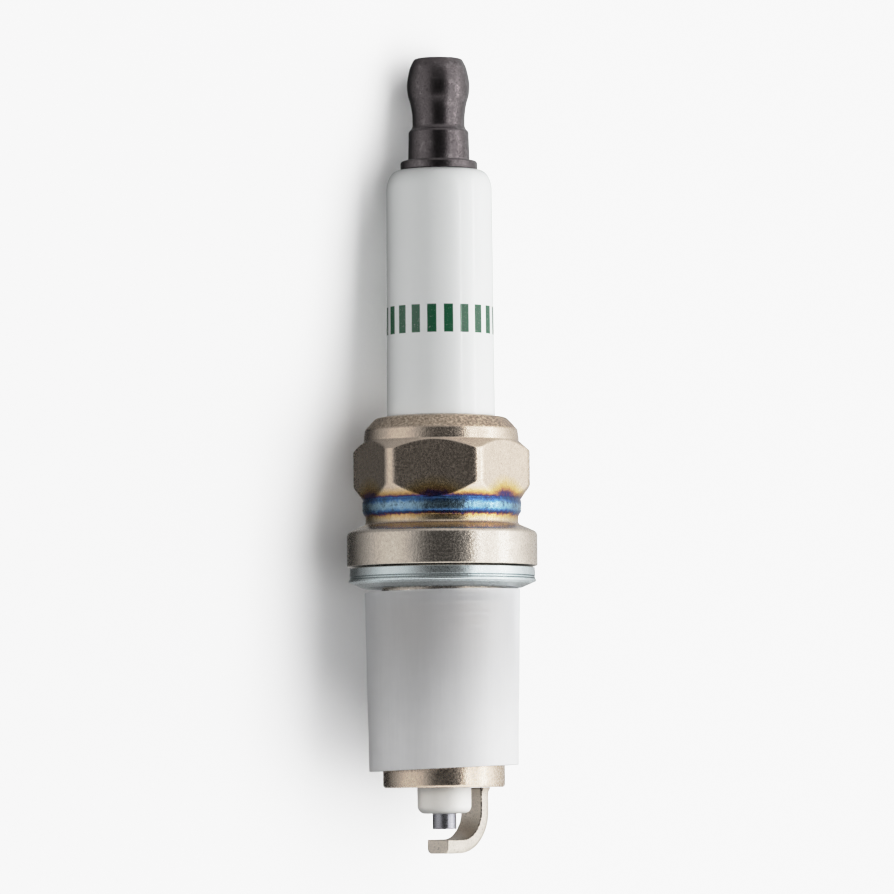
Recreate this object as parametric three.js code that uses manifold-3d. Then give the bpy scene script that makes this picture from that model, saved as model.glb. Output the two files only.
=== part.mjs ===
// A spark plug with an M14 x 1.25 thread, a 16 mm hexagon, a captive gasket and a one-piece terminal,
// in the soft sleeve that guards its thread until it is fitted.
// Lengths are millimetres. The plug's axis is Z, with the terminal at the top and the spark gap at the
// bottom. Every piece is drawn with z = 0 at the face of the uncrushed gasket that lies on the cylinder
// head. The whole plug is then lifted, so that its lowest point, the ground electrode's foot, is at z = 0.
import * as THREE from 'three';
import { mergeVertices } from 'three/addons/utils/BufferGeometryUtils.js';
import Module from 'manifold-3d';

const wasm = await Module();
wasm.setup();

// Facets around every turned piece. They all share one count, so a fit has the same gap all round.
const FACETS = 24;
const CURVE_STEPS = 3;
const WELD_DISTANCE = 1e-3;

// Running gap left between pieces that are packed or pressed together.
const FIT = 0.04;

// Heights of the main faces.
const TERMINAL_TOP = 53.0;
const INSULATOR_TOP = 42.0;
const CRIMP_TOP = 17.25;
const FLANGE_TOP = 5.6;
const FLANGE_BOTTOM = 2.21;
const GASKET_TOP = 1.94;
const SHELL_END = -19.9;
const NOSE_END = -22.5;
const CENTRE_ELECTRODE_END = -24.05;
const SPARK_GAP = 1.05;

// Thread, hexagon and flange.
const THREAD_MAJOR_R = 7.0;
const THREAD_ROOT_R = 6.23;
const THREAD_PITCH = 1.25;
const THREAD_CENTRE_TOP = -1.3;
const THREAD_CENTRE_BOTTOM = -14.0;
const UNDERCUT_R = 6.1;
const PILOT_R = 6.09;
const FLANGE_R = 9.55;
const ACROSS_FLATS = 15.8;
const HEX_CORNER_R = 8.97;
const HEX_FRONT_FLAT = THREE.MathUtils.degToRad(264.15);

// Bores of the shell, from the crimped lip down to the firing end.
const LIP_BORE_R = 5.5;
const SHELL_BORE_R = 6.3;
const BODY_BORE_R = 4.75;
const LEDGE_BORE_R = 3.9;
const END_BORE_R = 4.25;

// The insulator, and the stepped bore that holds the conductors.
const INSULATOR_R = 5.41;
const INSULATOR_TOP_R = 5.3;
const COLLAR_R = 5.95;
const BODY_R = 4.6;
const NOSE_R = 2.68;
const CORE_BORE_R = 2.0;
const ELECTRODE_BORE_R = 1.3;
const CORE_BORE_END = -2.0;

// The column inside that bore, from the terminal's tail down to the centre electrode's head.
const STUD_TAIL_END = 15.5;
const STUD_TAIL_TOP = 19.0;
const STUD_TAIL_R = 1.5;
const UPPER_SEAL_TOP = 17.5;
const UPPER_SEAL_BOTTOM = 14.0;
const LOWER_SEAL_TOP = 2.5;
const HEAD_TOP = -1.5;
const HEAD_KNOB_TOP = -0.4;
const HEAD_KNOB_R = 0.9;
const CENTRE_ELECTRODE_R = 1.18;
const COPPER_BORE_R = 0.55;
const COPPER_BORE_END = -20.0;

// Packing between the insulator and the shell.
const PACKING_RING_R = (INSULATOR_R + SHELL_BORE_R) / 2;
const PACKING_WIRE_R = 0.38;
const LOWER_PACKING_Z = 11.6;
const UPPER_PACKING_Z = 15.72;
const TALC_BOTTOM = 12.02;
const TALC_TOP = 15.3;

// Ground electrode: a flat bar on edge of the shell's end, bent under the centre electrode.
const BAR_WIDTH = 2.7;
const BAR_THICKNESS = 1.4;
const FOOT_BOTTOM = CENTRE_ELECTRODE_END - SPARK_GAP - BAR_THICKNESS;
const BAR_EDGE_ROUNDING = 0.45;
const BAR_LEG_R = 4.9;
const BAR_BEND_R = 3.6;
const BAR_OVERHANG = 1.09;
const BAR_DIRECTION = THREE.MathUtils.degToRad(50);

// Thread protector: a thin tapered tube, cut a little out of square at both ends.
const SLEEVE_TOP = -0.25;
const SLEEVE_BOTTOM = -18.0;
const SLEEVE_TOP_SLANT = 0.019;
const SLEEVE_BOTTOM_SLANT = 0.04;

// The points of an outline in (radius, height). A corner is [radius, height, before, after]: a curve
// replaces the corner from that distance before it to that distance after it.
function outlinePoints(corners) {
  const path = new THREE.Path();
  const at = (i) => new THREE.Vector2(...corners[(i + corners.length) % corners.length].slice(0, 2));
  const towards = (from, to, distance) => to.clone().sub(from).setLength(distance).add(from);
  corners.forEach(([, , before = 0, after = before], i) => {
    const corner = at(i);
    const start = before ? towards(corner, at(i - 1), before) : corner;
    if (i === 0) path.moveTo(start.x, start.y);
    else path.lineTo(start.x, start.y);
    if (before) {
      const end = towards(corner, at(i + 1), after);
      path.quadraticCurveTo(corner.x, corner.y, end.x, end.y);
    }
  });
  return path.getPoints(CURVE_STEPS);
}

// A piece turned about Z. The outline runs anticlockwise, and closes on the axis or on itself.
function turned(corners, facets = FACETS) {
  const points = outlinePoints(corners);
  const isRing = corners[0][0] > 0;
  if (isRing) points.push(points[0].clone());
  return new THREE.LatheGeometry(points, facets).rotateX(Math.PI / 2);
}

function toSolid(geometry) {
  const bare = new THREE.BufferGeometry();
  bare.setAttribute('position', geometry.getAttribute('position'));
  bare.setIndex(geometry.getIndex());
  const merged = mergeVertices(bare, WELD_DISTANCE);
  const mesh = new wasm.Mesh({
    numProp: 3,
    vertProperties: merged.getAttribute('position').array,
    triVerts: new Uint32Array(merged.getIndex().array),
  });
  return new wasm.Manifold(mesh);
}

function fromSolid(solid) {
  const mesh = solid.getMesh();
  const geometry = new THREE.BufferGeometry();
  geometry.setAttribute('position', new THREE.BufferAttribute(mesh.vertProperties, 3));
  geometry.setIndex(new THREE.BufferAttribute(mesh.triVerts, 1));
  geometry.computeVertexNormals();
  return geometry;
}

// The line that the thread's ridge follows, on the root of the thread. The ridge sinks into the
// core at both ends, which is the thread's run-out.
class ThreadHelix extends THREE.Curve {
  getPoint(t, target = new THREE.Vector3()) {
    const runOut = 0.03;
    const sunk = 0.85 * (1 - Math.min(1, t / runOut, (1 - t) / runOut));
    const z = THREE.MathUtils.lerp(THREAD_CENTRE_BOTTOM, THREAD_CENTRE_TOP, t);
    const angle = (2 * Math.PI * (z - THREAD_CENTRE_BOTTOM)) / THREAD_PITCH;
    const r = THREAD_ROOT_R - sunk;
    return target.set(r * Math.cos(angle), r * Math.sin(angle), z);
  }

  // The ridge's section keeps one side square to the axis.
  computeFrenetFrames(steps) {
    const frames = { tangents: [], normals: [], binormals: [] };
    for (let i = 0; i <= steps; i++) {
      frames.tangents.push(this.getTangentAt(i / steps));
      frames.normals.push(this.getPointAt(i / steps).setZ(0).normalize());
      frames.binormals.push(new THREE.Vector3(0, 0, -1));
    }
    return frames;
  }
}

// A 60 degree ridge, with a foot that reaches into the core.
function threadRidge() {
  const foot = -0.2;
  const crest = THREAD_MAJOR_R - THREAD_ROOT_R;
  const crestHalfWidth = THREAD_PITCH / 16;
  const footHalfWidth = 0.58;
  const section = new THREE.Shape([
    new THREE.Vector2(foot, -footHalfWidth),
    new THREE.Vector2(crest, -crestHalfWidth),
    new THREE.Vector2(crest, crestHalfWidth),
    new THREE.Vector2(foot, footHalfWidth),
  ]);
  const stepsPerTurn = 18;
  const turns = (THREAD_CENTRE_TOP - THREAD_CENTRE_BOTTOM) / THREAD_PITCH;
  return new THREE.ExtrudeGeometry(section, {
    steps: Math.round(stepsPerTurn * turns),
    extrudePath: new ThreadHelix(),
  });
}

// The hexagon's prism, cut by a turned envelope that chamfers both ends and blunts the corners.
function hexagon() {
  const cornerR = ACROSS_FLATS / 2 / Math.cos(Math.PI / 6);
  const corners = [];
  for (let i = 0; i < 6; i++) {
    const angle = HEX_FRONT_FLAT + ((i + 0.5) * Math.PI) / 3;
    corners.push(new THREE.Vector2(cornerR * Math.cos(angle), cornerR * Math.sin(angle)));
  }
  const prism = new THREE.ExtrudeGeometry(new THREE.Shape(corners), { depth: 8, bevelEnabled: false });
  prism.translate(0, 0, 8);
  const envelope = turned([
    [0, 8.6],
    [7.7, 8.6],
    [HEX_CORNER_R, 10.35],
    [HEX_CORNER_R, 13.67],
    [7.7, 14.8],
    [0, 14.8],
  ], 48);
  envelope.rotateZ(HEX_FRONT_FLAT);
  return toSolid(prism).intersect(toSolid(envelope));
}

// The steel shell: crimped lip, hexagon, heat-shrink ridge, seat flange, thread and plain pilot.
function metalShell() {
  const outside = turned([
    [0, SHELL_END],
    [PILOT_R, SHELL_END, 0.25],
    [PILOT_R, -14.6],
    [THREAD_ROOT_R, -14.45],
    [THREAD_ROOT_R, -0.6],
    [UNDERCUT_R, -0.45],
    [UNDERCUT_R, FLANGE_BOTTOM],
    [FLANGE_R, FLANGE_BOTTOM, 0.12],
    [FLANGE_R, FLANGE_TOP, 0.25],
    [7.64, 6.5, 0.15],
    [7.64, 7.2, 0.12],
    [7.98, 7.6, 0.3],
    [7.98, 8.8, 0.35],
    [7.78, 9.2],
    [7.81, 14.7],
    [7.66, 15.9, 0.35],
    [6.6, 17.08, 0.4],
    [5.3, CRIMP_TOP],
    [0, CRIMP_TOP],
  ]);
  const bore = turned([
    [0, SHELL_END - 1],
    [END_BORE_R, SHELL_END - 1],
    [END_BORE_R, -11.0],
    [LEDGE_BORE_R, -10.6],
    [LEDGE_BORE_R, -9.2],
    [BODY_BORE_R, -8.35],
    [BODY_BORE_R, 3.2],
    [SHELL_BORE_R, 4.4],
    [SHELL_BORE_R, 15.95],
    [LIP_BORE_R, 16.6],
    [LIP_BORE_R, CRIMP_TOP + 1],
    [0, CRIMP_TOP + 1],
  ]);
  return fromSolid(toSolid(outside).add(toSolid(threadRidge())).add(hexagon()).subtract(toSolid(bore)));
}

// The insulator: glazed barrel, collar held by the packing, body, seating cone and bare nose.
function insulator() {
  return turned([
    [ELECTRODE_BORE_R, NOSE_END],
    [NOSE_R, NOSE_END, 0.5],
    [2.72, -19.0],
    [3.5, -9.6],
    [3.6, -8.9],
    [BODY_R, -7.9],
    [BODY_R, 3.4],
    [COLLAR_R, 5.3],
    [COLLAR_R, 10.9],
    [INSULATOR_R, 11.44],
    [INSULATOR_R, CRIMP_TOP],
    [INSULATOR_TOP_R, INSULATOR_TOP, 2.1, 1.16],
    [CORE_BORE_R, INSULATOR_TOP],
    [CORE_BORE_R, CORE_BORE_END],
    [ELECTRODE_BORE_R, CORE_BORE_END - (CORE_BORE_R - ELECTRODE_BORE_R)],
  ]);
}

// The terminal and its shank, one turned steel piece. Grooves key its tail into the upper seal.
function terminalStud() {
  const grooves = [16.0, 17.0, 18.0].flatMap((z) => [
    [STUD_TAIL_R, z],
    [STUD_TAIL_R - 0.25, z + 0.25],
    [STUD_TAIL_R, z + 0.5],
  ]);
  return turned([
    [0, STUD_TAIL_END],
    [STUD_TAIL_R, STUD_TAIL_END],
    ...grooves,
    [STUD_TAIL_R, STUD_TAIL_TOP],
    [CORE_BORE_R - 0.1, STUD_TAIL_TOP + 0.4],
    [CORE_BORE_R - 0.1, INSULATOR_TOP + FIT],
    [3.87, INSULATOR_TOP + FIT, 0.12],
    [3.87, 42.96, 0.25],
    [3.15, 43.0],
    [3.09, 45.97],
    [2.62, 46.4],
    [2.6, 48.3, 0.96],
    [3.3, 50.1, 0.96],
    [2.87, 52.0, 0.96, 0.5],
    [2.33, TERMINAL_TOP],
    [0, TERMINAL_TOP],
  ]);
}

// Conductive glass around the terminal's tail.
function upperGlassSeal() {
  return turned([
    [0, UPPER_SEAL_BOTTOM + FIT],
    [CORE_BORE_R - FIT, UPPER_SEAL_BOTTOM + FIT],
    [CORE_BORE_R - FIT, UPPER_SEAL_TOP],
    [STUD_TAIL_R + FIT, UPPER_SEAL_TOP],
    [STUD_TAIL_R + FIT, STUD_TAIL_END - FIT],
    [0, STUD_TAIL_END - FIT],
  ]);
}

// The suppressor, a plug of resistive glass between the two seals.
function resistor() {
  return turned([
    [0, LOWER_SEAL_TOP + FIT],
    [CORE_BORE_R - FIT, LOWER_SEAL_TOP + FIT],
    [CORE_BORE_R - FIT, UPPER_SEAL_BOTTOM],
    [0, UPPER_SEAL_BOTTOM],
  ]);
}

// Conductive glass over the centre electrode's head.
function lowerGlassSeal() {
  return turned([
    [0, HEAD_KNOB_TOP + FIT],
    [HEAD_KNOB_R + FIT, HEAD_KNOB_TOP + FIT],
    [HEAD_KNOB_R + FIT, HEAD_TOP + FIT],
    [CORE_BORE_R - FIT, HEAD_TOP + FIT],
    [CORE_BORE_R - FIT, LOWER_SEAL_TOP],
    [0, LOWER_SEAL_TOP],
  ]);
}

// The centre electrode's nickel jacket: a rod under a coned head, with a blind bore for the copper.
function centreElectrode() {
  const headR = CORE_BORE_R - 0.15;
  const coneTop = CORE_BORE_END - 0.1;
  return turned([
    [0, CENTRE_ELECTRODE_END],
    [CENTRE_ELECTRODE_R, CENTRE_ELECTRODE_END, 0.06],
    [CENTRE_ELECTRODE_R, coneTop - (headR - CENTRE_ELECTRODE_R)],
    [headR, coneTop],
    [headR, HEAD_TOP],
    [HEAD_KNOB_R, HEAD_TOP],
    [HEAD_KNOB_R, HEAD_KNOB_TOP],
    [COPPER_BORE_R, HEAD_KNOB_TOP],
    [COPPER_BORE_R, COPPER_BORE_END],
    [0, COPPER_BORE_END],
  ]);
}

function copperCore() {
  return turned([
    [0, COPPER_BORE_END + FIT],
    [COPPER_BORE_R - FIT, COPPER_BORE_END + FIT],
    [COPPER_BORE_R - FIT, HEAD_KNOB_TOP - FIT],
    [0, HEAD_KNOB_TOP - FIT],
  ]);
}

// A wire ring at either end of the talc.
function packingRing(z) {
  return new THREE.TorusGeometry(PACKING_RING_R, PACKING_WIRE_R, 6, FACETS).translate(0, 0, z);
}

function talcRing() {
  return turned([
    [INSULATOR_R + FIT, TALC_BOTTOM],
    [SHELL_BORE_R - FIT, TALC_BOTTOM],
    [SHELL_BORE_R - FIT, TALC_TOP],
    [INSULATOR_R + FIT, TALC_TOP],
  ]);
}

// The coned washer that seals the insulator's seating cone on the shell's ledge.
function innerSeatWasher() {
  const innerR = LEDGE_BORE_R + 0.05;
  const outerR = BODY_BORE_R - 0.1;
  const upperOffset = 12.54;
  const lowerOffset = 13.06;
  return turned([
    [innerR, innerR - lowerOffset],
    [outerR, outerR - lowerOffset],
    [outerR, outerR - upperOffset],
    [innerR, innerR - upperOffset],
  ]);
}

// The crush gasket: sheet steel folded into a hollow ring whose slot opens inwards. Its bore is
// smaller than the thread, so it stays on the undercut and turns freely there.
function gasket() {
  return turned([
    [6.75, 0.2],
    [6.95, 0],
    [7.9, 0],
    [8.35, 0],
    [9.2, 0.42, 0.35, 0.3],
    [9.4, 0.95, 0.25, 0.2],
    [9.0, 1.35],
    [9.22, 1.42, 0.05, 0.1],
    [9.22, GASKET_TOP, 0.15],
    [6.95, GASKET_TOP],
    [6.75, 1.75],
    [6.75, 1.5],
    [8.6, 1.42],
    [8.6, 0.55],
    [6.75, 0.42],
  ]);
}

function threadProtector() {
  const tube = turned([
    [7.13, SLEEVE_BOTTOM],
    [7.49, SLEEVE_BOTTOM, 0.08],
    [7.81, SLEEVE_TOP],
    [7.15, SLEEVE_TOP],
  ]);
  const position = tube.getAttribute('position');
  for (let i = 0; i < position.count; i++) {
    const share = (position.getZ(i) - SLEEVE_BOTTOM) / (SLEEVE_TOP - SLEEVE_BOTTOM);
    const slant = THREE.MathUtils.lerp(SLEEVE_BOTTOM_SLANT, SLEEVE_TOP_SLANT, share);
    position.setZ(i, position.getZ(i) + slant * position.getX(i));
  }
  return tube;
}

// The ground electrode, drawn with its leg on the +X side.
function groundElectrode() {
  const half = BAR_WIDTH / 2;
  const inner = BAR_THICKNESS / 2;
  const outer = -BAR_THICKNESS / 2;
  const section = new THREE.Shape();
  section.moveTo(half, inner);
  section.lineTo(-half, inner);
  section.lineTo(-half, outer + BAR_EDGE_ROUNDING);
  section.quadraticCurveTo(-half, outer, -half + BAR_EDGE_ROUNDING, outer);
  section.lineTo(half - BAR_EDGE_ROUNDING, outer);
  section.quadraticCurveTo(half, outer, half, outer + BAR_EDGE_ROUNDING);
  section.closePath();

  const footZ = FOOT_BOTTOM + BAR_THICKNESS / 2;
  const legEnd = new THREE.Vector3(BAR_LEG_R, 0, footZ + BAR_BEND_R);
  const footStart = new THREE.Vector3(BAR_LEG_R - BAR_BEND_R, 0, footZ);
  const quarterArcHandle = 0.5523 * BAR_BEND_R;
  const centreLine = new THREE.CurvePath();
  centreLine.add(new THREE.LineCurve3(new THREE.Vector3(BAR_LEG_R, 0, SHELL_END - FIT), legEnd));
  centreLine.add(new THREE.CubicBezierCurve3(
    legEnd,
    legEnd.clone().setZ(legEnd.z - quarterArcHandle),
    footStart.clone().setX(footStart.x + quarterArcHandle),
    footStart,
  ));
  centreLine.add(new THREE.LineCurve3(footStart, new THREE.Vector3(-BAR_OVERHANG, 0, footZ)));
  return new THREE.ExtrudeGeometry(section, {
    steps: 24,
    curveSegments: CURVE_STEPS,
    extrudePath: centreLine,
  });
}

const finishes = {
  darkSteel: { color: 0x3a3638, roughness: 0.35, metalness: 1.0 },
  glazedCeramic: { color: 0xf1f4f3, roughness: 0.12, metalness: 0.0 },
  nickelPlate: { color: 0xb7a796, roughness: 0.38, metalness: 1.0 },
  nickelAlloy: { color: 0xa89a8b, roughness: 0.45, metalness: 1.0 },
  centreNickel: { color: 0x565761, roughness: 0.3, metalness: 1.0 },
  zincPlate: { color: 0xa4b1b8, roughness: 0.3, metalness: 1.0 },
  plainSteel: { color: 0x8d8e90, roughness: 0.5, metalness: 1.0 },
  copper: { color: 0xb87348, roughness: 0.4, metalness: 1.0 },
  sealGlass: { color: 0x6f5a50, roughness: 0.5, metalness: 0.2 },
  resistorGlass: { color: 0x2c2b2b, roughness: 0.7, metalness: 0.0 },
  talc: { color: 0xe4e1d8, roughness: 0.95, metalness: 0.0 },
  frostedPlastic: { color: 0xd9dadd, roughness: 0.5, metalness: 0.0, transparent: true, opacity: 0.6 },
};

function piece(name, geometry, finish) {
  const material = new THREE.MeshStandardMaterial({ ...finishes[finish], flatShading: true });
  const mesh = new THREE.Mesh(geometry, material);
  mesh.name = name;
  return mesh;
}

const insulatorColumn = new THREE.Group();
insulatorColumn.add(
  piece('insulator', insulator(), 'glazedCeramic'),
  piece('terminal_stud', terminalStud(), 'darkSteel'),
  piece('upper_glass_seal', upperGlassSeal(), 'sealGlass'),
  piece('resistor', resistor(), 'resistorGlass'),
  piece('lower_glass_seal', lowerGlassSeal(), 'sealGlass'),
  piece('centre_electrode', centreElectrode(), 'centreNickel'),
  piece('electrode_copper_core', copperCore(), 'copper'),
);

const packing = new THREE.Group();
packing.add(
  piece('upper_packing_ring', packingRing(UPPER_PACKING_Z), 'plainSteel'),
  piece('talc_ring', talcRing(), 'talc'),
  piece('lower_packing_ring', packingRing(LOWER_PACKING_Z), 'plainSteel'),
  piece('inner_seat_washer', innerSeatWasher(), 'plainSteel'),
);

const groundBar = piece('ground_electrode', groundElectrode(), 'nickelAlloy');
groundBar.rotation.z = BAR_DIRECTION;

const sparkPlug = new THREE.Group();
sparkPlug.add(
  insulatorColumn,
  packing,
  groundBar,
  piece('metal_shell', metalShell(), 'nickelPlate'),
  piece('gasket', gasket(), 'zincPlate'),
  piece('thread_protector', threadProtector(), 'frostedPlastic'),
);
sparkPlug.position.z = -FOOT_BOTTOM;

export default sparkPlug;
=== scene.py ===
"""The looks of a spark plug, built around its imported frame: fine meshes, node materials, a studio.

Sizes in this file are millimetres and heights are above the gasket's seating face. They become the
frame's metres when a mesh is made. The plug's axis is Z.
"""
import math

import bpy
import numpy as np
from mathutils import Matrix, Vector


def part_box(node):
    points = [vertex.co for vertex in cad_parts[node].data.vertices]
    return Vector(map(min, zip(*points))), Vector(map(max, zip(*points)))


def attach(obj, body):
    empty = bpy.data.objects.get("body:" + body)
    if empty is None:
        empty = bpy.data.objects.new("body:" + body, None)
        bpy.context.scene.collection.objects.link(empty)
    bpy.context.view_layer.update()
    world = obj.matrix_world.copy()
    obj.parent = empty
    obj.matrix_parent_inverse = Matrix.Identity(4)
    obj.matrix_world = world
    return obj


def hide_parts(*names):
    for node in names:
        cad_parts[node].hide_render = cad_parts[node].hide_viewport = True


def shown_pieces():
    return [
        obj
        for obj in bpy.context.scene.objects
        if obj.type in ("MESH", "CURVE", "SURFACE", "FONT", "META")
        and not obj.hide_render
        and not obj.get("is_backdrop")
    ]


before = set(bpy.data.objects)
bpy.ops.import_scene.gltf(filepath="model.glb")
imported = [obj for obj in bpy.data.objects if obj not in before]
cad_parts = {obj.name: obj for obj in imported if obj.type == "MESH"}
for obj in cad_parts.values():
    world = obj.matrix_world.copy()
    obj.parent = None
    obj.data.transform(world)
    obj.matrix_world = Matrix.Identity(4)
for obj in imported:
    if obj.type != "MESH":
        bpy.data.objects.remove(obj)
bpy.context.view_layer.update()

MM = 0.001
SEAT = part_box("gasket")[0].z


def extent(node):
    """A node's radius (its reach along X), lowest height and highest height."""
    low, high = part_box(node)
    return high.x / MM, (low.z - SEAT) / MM, (high.z - SEAT) / MM


# ---------------------------------------------------------------- sizes read from the frame

FLANGE_R, SHELL_END, CRIMP_TOP = extent("metal_shell")
TERMINAL_FLANGE_R, STUD_TAIL_END, TERMINAL_TOP = extent("terminal_stud")
COLLAR_R, NOSE_END, INSULATOR_TOP = extent("insulator")
GASKET_BOTTOM, GASKET_TOP = extent("gasket")[1:]
SLEEVE_LOW, SLEEVE_HIGH = extent("thread_protector")[1:]
ELECTRODE_HEAD_R, ELECTRODE_END, ELECTRODE_TOP = extent("centre_electrode")
FOOT_BOTTOM = extent("ground_electrode")[1]
SEAL_R, UPPER_SEAL_BOTTOM, UPPER_SEAL_TOP = extent("upper_glass_seal")
LOWER_SEAL_BOTTOM, LOWER_SEAL_TOP = extent("lower_glass_seal")[1:]
RESISTOR_BOTTOM, RESISTOR_TOP = extent("resistor")[1:]
COPPER_R, COPPER_END, COPPER_TOP = extent("electrode_copper_core")
PACKING_R, UPPER_PACKING_LOW, UPPER_PACKING_HIGH = extent("upper_packing_ring")
LOWER_PACKING_LOW, LOWER_PACKING_HIGH = extent("lower_packing_ring")[1:]
TALC_R, TALC_BOTTOM, TALC_TOP = extent("talc_ring")
WASHER_R, WASHER_BOTTOM, WASHER_TOP = extent("inner_seat_washer")

# ---------------------------------------------------------------- sizes of the shapes

HEX_FLAT_R = 7.9
HEX_EDGE_ROUND = 1.5
HEX_FRONT_FLAT = math.radians(264.15)
HEX_BOTTOM = 8.88
HEX_TOP = 14.62
HEX_BOTTOM_SLOPE = 1.07 / 1.47
HEX_TOP_SLOPE = 1.07 / 0.95
NECK_R = 7.78
FLANGE_BOTTOM = 2.21
FLANGE_TOP = 5.5

THREAD_R = 7.0
THREAD_ROOT_R = 6.23
THREAD_PITCH = 1.25
THREAD_TOP = -0.75
THREAD_BOTTOM = -14.45
UNDERCUT_R = 6.1
PILOT_R = 6.09
PILOT_TOP = -14.7

LIP_BORE_R = 5.5
SHELL_BORE_R = 6.3
BODY_BORE_R = 4.75
LEDGE_BORE_R = 3.9
END_BORE_R = 4.25

GLAZED_R = 5.41
GLAZED_TOP_R = 5.3
BODY_R = 4.6
CORE_BORE_R = 2.0
ELECTRODE_BORE_R = 1.3
NOSE_R = 2.68

TERMINAL_RISE = 0.3
STUD_SHANK_R = 1.9
STUD_TAIL_R = 1.5
STUD_TAIL_GROOVES = (16, 17, 18)
ELECTRODE_R = 1.18

MARK_LOW = 25.4
MARK_HIGH = 28.2
MARKS_AROUND = 20

BAR_DIRECTION = math.radians(50)
BAR_WIDTH = 2.7
BAR_THICKNESS = 1.4
BAR_LEG_R = 4.9
BAR_BEND_R = 3.6
BAR_OVERHANG = 1.09
BAR_INNER_ROUND = 0.1
BAR_OUTER_ROUND = 0.52

# ---------------------------------------------------------------- mesh tools

SUPPORT = 0.03


def rounding(before, corner, after, into, out_of):
    """The quarter ellipse that rounds a corner. It starts and ends these distances from it."""
    corner = np.array(corner)
    u = np.array(before) - corner
    v = np.array(after) - corner
    u *= into / np.linalg.norm(u)
    v *= out_of / np.linalg.norm(v)
    steps = 8 if max(into, out_of) < 0.6 else 18
    t = np.linspace(0, math.pi / 2, steps + 1)[:, None]
    return [tuple(p) for p in corner + u * (1 - np.sin(t)) + v * (1 - np.cos(t))]


def outline(corners, closed=False):
    """The points of an outline of (radius, height) corners. A corner's third number rounds it, and
    a fourth is its length along the next side if that differs. Every straight stretch gets a point
    close to each end, which keeps its shading flat."""
    count = len(corners)
    runs = []
    for i, corner in enumerate(corners):
        at_end = not closed and i in (0, count - 1)
        if len(corner) > 2 and not at_end:
            before = corners[i - 1][:2]
            after = corners[(i + 1) % count][:2]
            runs.append(rounding(before, corner[:2], after, corner[2], corner[-1]))
        else:
            runs.append([tuple(corner[:2])])
    points = []
    for i, run in enumerate(runs):
        points += run
        if i + 1 == count and not closed:
            break
        a = np.array(run[-1])
        b = np.array(runs[(i + 1) % count][0])
        length = np.linalg.norm(b - a)
        if length > 4 * SUPPORT:
            step = (b - a) / length * SUPPORT
            points += [tuple(a + step), tuple(b - step)]
    return points


def new_object(name, vertices, faces):
    vertices = np.asarray(vertices) * MM + (0, 0, SEAT)
    mesh = bpy.data.meshes.new(name)
    mesh.from_pydata(vertices.tolist(), [], faces)
    mesh.validate()
    mesh.polygons.foreach_set("use_smooth", [True] * len(mesh.polygons))
    made = bpy.data.objects.new(name, mesh)
    bpy.context.scene.collection.objects.link(made)
    return made


def skin(name, rings, bottom=None, top=None):
    """A closed mesh through rings of points (x, y, z). bottom and top are the points that close the
    first and last ring, and without them the last ring joins the first."""
    rings = np.asarray(rings)
    rows, columns = rings.shape[:2]
    vertices = rings.reshape(-1, 3).tolist()
    index = np.arange(rows * columns).reshape(rows, columns)
    beside = np.roll(index, -1, 1)
    corners = np.stack([index, beside, np.roll(beside, -1, 0), np.roll(index, -1, 0)], 2)
    if bottom is not None:
        corners = corners[:-1]
    faces = corners.reshape(-1, 4).tolist()
    if bottom is not None:
        low, high = len(vertices), len(vertices) + 1
        vertices += [list(bottom), list(top)]
        faces += [[low, b, a] for a, b in zip(index[0].tolist(), beside[0].tolist())]
        faces += [[high, a, b] for a, b in zip(index[-1].tolist(), beside[-1].tolist())]
    return new_object(name, vertices, faces)


def around(columns):
    return np.arange(columns) * 2 * math.pi / columns


def rings_of(points, angles, radius_at=None):
    """Rings of a turned shape. radius_at(angle, radius, height) may change the radius."""
    points = np.asarray(points)
    angle = np.repeat(angles[None], len(points), 0)
    r = np.repeat(points[:, :1], len(angles), 1)
    z = np.repeat(points[:, 1:], len(angles), 1)
    if radius_at:
        r = radius_at(angle, r, z)
    return np.stack([r * np.cos(angle), r * np.sin(angle), z], 2)


def turned(name, corners, columns=128):
    """A turned piece. Its outline runs anticlockwise and starts and ends on the axis, or is a loop."""
    angles = around(columns)
    if corners[0][0] > 0:
        return skin(name, rings_of(outline(corners, closed=True), angles))
    points = outline(corners)
    rings = rings_of(points[1:-1], angles)
    return skin(name, rings, (0, 0, points[0][1]), (0, 0, points[-1][1]))


# ---------------------------------------------------------------- the shell

def soft_min(a, b, width):
    h = np.clip(0.5 + 0.5 * (b - a) / width, 0, 1)
    return b + (a - b) * h - width * h * (1 - h)


def soft_max(a, b, width):
    return -soft_min(-a, -b, width)


def hexagon_radius(angle, z):
    """The hexagon: six flats, rounded edges between them, and a cone over each end."""
    sixth = math.pi / 3
    from_flat = np.mod(angle - HEX_FRONT_FLAT + sixth / 2, sixth) - sixth / 2
    from_corner = sixth / 2 - np.abs(from_flat)
    centre_r = (HEX_FLAT_R - HEX_EDGE_ROUND) / math.cos(sixth / 2)
    beside = (centre_r * np.sin(from_corner)).clip(0, HEX_EDGE_ROUND)
    half_chord = np.sqrt(HEX_EDGE_ROUND ** 2 - beside ** 2)
    on_edge = np.tan(np.abs(from_flat)) > (1 - HEX_EDGE_ROUND / HEX_FLAT_R) * math.tan(sixth / 2)
    rounded = centre_r * np.cos(from_corner) + half_chord
    blunted = np.where(on_edge, rounded, HEX_FLAT_R / np.cos(from_flat))
    top = HEX_FLAT_R + (HEX_TOP - z) * HEX_TOP_SLOPE
    bottom = HEX_FLAT_R + (z - HEX_BOTTOM) * HEX_BOTTOM_SLOPE
    return soft_min(soft_min(blunted, top, 0.1), bottom, 0.1)


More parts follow.
